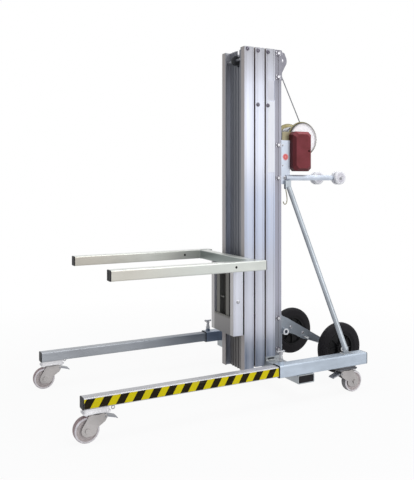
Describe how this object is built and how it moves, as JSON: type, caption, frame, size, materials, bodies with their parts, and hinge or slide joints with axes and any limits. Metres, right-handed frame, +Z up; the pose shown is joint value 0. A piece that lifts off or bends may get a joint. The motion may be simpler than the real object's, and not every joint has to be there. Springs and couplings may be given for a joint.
{
  "type": "material hoist",
  "caption": "Portable telescopic-mast material lift with a fork carriage, hand winch, sliding straddle legs, braked swivel casters and large rear transport wheels.",
  "frame": {"origin": "floor under the centre of the machine's bounding box", "axes": "+Z up along the mast, -Y towards the fork tips, +X to the left of someone standing behind at the winch"},
  "size_m": [0.764, 1.512, 1.644],
  "materials": {
    "zinc_steel": "bright zinc plating, slightly cloudy",
    "plated_steel": "bright zinc plating",
    "black_plastic": "moulded, matt",
    "grey_nylon": "moulded nylon, satin",
    "white_nylon": "moulded nylon, satin",
    "tyre_rubber": "solid rubber, matt",
    "anodised_alloy": "extruded, satin anodised",
    "yellow_zinc": "yellow passivated zinc",
    "red_cover": "moulded, slightly grained",
    "wire_rope": "stranded galvanised wire"
  },
  "bodies": {
    "base": {"cross_tube": "zinc_steel", "frame_plugs": "black_plastic", "left_side_beam": "zinc_steel", "right_side_beam": "zinc_steel", "mast_foot": "zinc_steel", "rear_left_caster_plate": "plated_steel", "rear_right_caster_plate": "plated_steel", "wheel_carrier": "zinc_steel", "carrier_arms": "zinc_steel", "transport_axle": "plated_steel", "braces": "zinc_steel", "base_mast": "anodised_alloy", "rail_clamps": "plated_steel", "top_pulley_bracket": "anodised_alloy", "winch_bracket": "zinc_steel", "winch_frame": "yellow_zinc", "winch_cover": "red_cover", "lift_rope": "wire_rope"},
    "left_leg": {"left_leg": "zinc_steel", "left_leg_cap": "black_plastic", "front_left_caster_plate": "plated_steel"},
    "left_leg_clamp": {"left_leg_clamp": "plated_steel"},
    "right_leg": {"right_leg": "zinc_steel", "right_leg_cap": "black_plastic", "front_right_caster_plate": "plated_steel"},
    "right_leg_clamp": {"right_leg_clamp": "plated_steel"},
    "front_left_caster": {"front_left_caster_fork": "plated_steel"},
    "front_left_wheel": {"front_left_caster_wheel": "grey_nylon"},
    "front_left_brake": {"front_left_brake_pedal": "plated_steel"},
    "front_right_caster": {"front_right_caster_fork": "plated_steel"},
    "front_right_wheel": {"front_right_caster_wheel": "grey_nylon"},
    "front_right_brake": {"front_right_brake_pedal": "plated_steel"},
    "rear_left_caster": {"rear_left_caster_fork": "plated_steel"},
    "rear_left_wheel": {"rear_left_caster_wheel": "grey_nylon"},
    "rear_left_brake": {"rear_left_brake_pedal": "plated_steel"},
    "rear_right_caster": {"rear_right_caster_fork": "plated_steel"},
    "rear_right_wheel": {"rear_right_caster_wheel": "grey_nylon"},
    "rear_right_brake": {"rear_right_brake_pedal": "plated_steel"},
    "left_transport_wheel": {"left_transport_hub": "black_plastic", "left_transport_tyre": "tyre_rubber"},
    "left_roller": {"left_loading_roller": "white_nylon"},
    "right_transport_wheel": {"right_transport_hub": "black_plastic", "right_transport_tyre": "tyre_rubber"},
    "right_roller": {"right_loading_roller": "white_nylon"},
    "mid_mast": {"mid_mast": "anodised_alloy", "mid_mast_shoes": "white_nylon"},
    "inner_mast": {"inner_mast": "anodised_alloy", "inner_mast_shoes": "white_nylon"},
    "carriage": {"carriage": "anodised_alloy", "carriage_shoes": "white_nylon", "fork_frame": "zinc_steel", "fork_caps": "black_plastic"},
    "rope_drum": {"rope_drum": "yellow_zinc", "rope_winding": "wire_rope"},
    "crank": {"crank": "plated_steel"},
    "crank_grip": {"crank_grip": "black_plastic"},
    "top_sheave": {"top_sheave": "white_nylon"},
    "mid_sheave": {"mid_sheave": "white_nylon"},
    "inner_sheave": {"inner_sheave": "white_nylon"}
  },
  "joints": [
    {"name": "left_leg_slide", "type": "slide", "parent": "base", "child": "left_leg", "axis": [0, -1, 0], "range_m": [0, 0.25]},
    {"name": "left_leg_clamp_turn", "type": "hinge", "parent": "base", "child": "left_leg_clamp", "pos_m": [0.354, 0.184, 0.2], "axis": [0, 0, 1], "range_deg": [0, 360]},
    {"name": "right_leg_slide", "type": "slide", "parent": "base", "child": "right_leg", "axis": [0, -1, 0], "range_m": [0, 0.25]},
    {"name": "right_leg_clamp_turn", "type": "hinge", "parent": "base", "child": "right_leg_clamp", "pos_m": [-0.354, 0.184, 0.2], "axis": [0, 0, 1], "range_deg": [0, 360]},
    {"name": "front_left_swivel", "type": "hinge", "parent": "left_leg", "child": "front_left_caster", "pos_m": [0.354, -0.668, 0.1], "axis": [0, 0, 1], "continuous": true},
    {"name": "front_left_wheel_spin", "type": "hinge", "parent": "front_left_caster", "child": "front_left_wheel", "pos_m": [0.354, -0.706, 0.05], "axis": [1, 0, 0], "continuous": true},
    {"name": "front_left_brake_press", "type": "hinge", "parent": "front_left_caster", "child": "front_left_brake", "pos_m": [0.354, -0.634, 0.094], "axis": [-1, 0, 0], "range_deg": [0, 12]},
    {"name": "front_right_swivel", "type": "hinge", "parent": "right_leg", "child": "front_right_caster", "pos_m": [-0.354, -0.668, 0.1], "axis": [0, 0, 1], "continuous": true},
    {"name": "front_right_wheel_spin", "type": "hinge", "parent": "front_right_caster", "child": "front_right_wheel", "pos_m": [-0.354, -0.706, 0.05], "axis": [1, 0, 0], "continuous": true},
    {"name": "front_right_brake_press", "type": "hinge", "parent": "front_right_caster", "child": "front_right_brake", "pos_m": [-0.354, -0.634, 0.094], "axis": [-1, 0, 0], "range_deg": [0, 12]},
    {"name": "rear_left_swivel", "type": "hinge", "parent": "base", "child": "rear_left_caster", "pos_m": [0.354, 0.548, 0.1], "axis": [0, 0, 1], "continuous": true},
    {"name": "rear_left_wheel_spin", "type": "hinge", "parent": "rear_left_caster", "child": "rear_left_wheel", "pos_m": [0.354, 0.586, 0.05], "axis": [1, 0, 0], "continuous": true},
    {"name": "rear_left_brake_press", "type": "hinge", "parent": "rear_left_caster", "child": "rear_left_brake", "pos_m": [0.354, 0.514, 0.094], "axis": [1, 0, 0], "range_deg": [0, 12]},
    {"name": "rear_right_swivel", "type": "hinge", "parent": "base", "child": "rear_right_caster", "pos_m": [-0.354, 0.548, 0.1], "axis": [0, 0, 1], "continuous": true},
    {"name": "rear_right_wheel_spin", "type": "hinge", "parent": "rear_right_caster", "child": "rear_right_wheel", "pos_m": [-0.354, 0.586, 0.05], "axis": [1, 0, 0], "continuous": true},
    {"name": "rear_right_brake_press", "type": "hinge", "parent": "rear_right_caster", "child": "rear_right_brake", "pos_m": [-0.354, 0.514, 0.094], "axis": [1, 0, 0], "range_deg": [0, 12]},
    {"name": "left_transport_wheel_spin", "type": "hinge", "parent": "base", "child": "left_transport_wheel", "pos_m": [0.206, 0.631, 0.166], "axis": [1, 0, 0], "continuous": true},
    {"name": "left_roller_spin", "type": "hinge", "parent": "base", "child": "left_roller", "pos_m": [0.091, 0.721, 1.015], "axis": [1, 0, 0], "continuous": true},
    {"name": "right_transport_wheel_spin", "type": "hinge", "parent": "base", "child": "right_transport_wheel", "pos_m": [-0.206, 0.631, 0.166], "axis": [1, 0, 0], "continuous": true},
    {"name": "right_roller_spin", "type": "hinge", "parent": "base", "child": "right_roller", "pos_m": [-0.091, 0.721, 1.015], "axis": [1, 0, 0], "continuous": true},
    {"name": "mid_mast_lift", "type": "slide", "parent": "base", "child": "mid_mast", "axis": [0, 0, 1], "range_m": [0, 1.12]},
    {"name": "inner_mast_lift", "type": "slide", "parent": "mid_mast", "child": "inner_mast", "axis": [0, 0, 1], "range_m": [0, 1.12]},
    {"name": "carriage_lift", "type": "slide", "parent": "inner_mast", "child": "carriage", "axis": [0, 0, 1], "range_m": [0, 0.953]},
    {"name": "drum_turn", "type": "hinge", "parent": "base", "child": "rope_drum", "pos_m": [0, 0.512, 1.212], "axis": [-1, 0, 0], "range_deg": [0, 2720]},
    {"name": "crank_turn", "type": "hinge", "parent": "base", "child": "crank", "pos_m": [-0.118, 0.49035, 1.11673], "axis": [1, 0, 0], "range_deg": [0, 14890]},
    {"name": "crank_grip_spin", "type": "hinge", "parent": "crank", "child": "crank_grip", "pos_m": [-0.18, 0.49035, 0.93673], "axis": [1, 0, 0], "continuous": true},
    {"name": "top_sheave_turn", "type": "hinge", "parent": "base", "child": "top_sheave", "pos_m": [0, 0.364, 1.595], "axis": [-1, 0, 0], "range_deg": [0, 6110]},
    {"name": "mid_sheave_turn", "type": "hinge", "parent": "mid_mast", "child": "mid_sheave", "pos_m": [0, 0.217, 1.592], "axis": [-1, 0, 0], "range_deg": [0, 5950]},
    {"name": "inner_sheave_turn", "type": "hinge", "parent": "inner_mast", "child": "inner_sheave", "pos_m": [0, 0.156, 1.592], "axis": [-1, 0, 0], "range_deg": [0, 2740]}
  ],
  "couplings": [
    {"joint": "inner_mast_lift", "follows": "mid_mast_lift", "ratio": 1},
    {"joint": "carriage_lift", "follows": "mid_mast_lift", "ratio": 0.85},
    {"joint": "drum_turn", "follows": "mid_mast_lift", "rad_per_m": 42.16},
    {"joint": "crank_turn", "follows": "mid_mast_lift", "rad_per_m": 231.88},
    {"joint": "top_sheave_turn", "follows": "mid_mast_lift", "rad_per_m": 95},
    {"joint": "mid_sheave_turn", "follows": "mid_mast_lift", "rad_per_m": 92.5},
    {"joint": "inner_sheave_turn", "follows": "mid_mast_lift", "rad_per_m": 42.5}
  ]
}
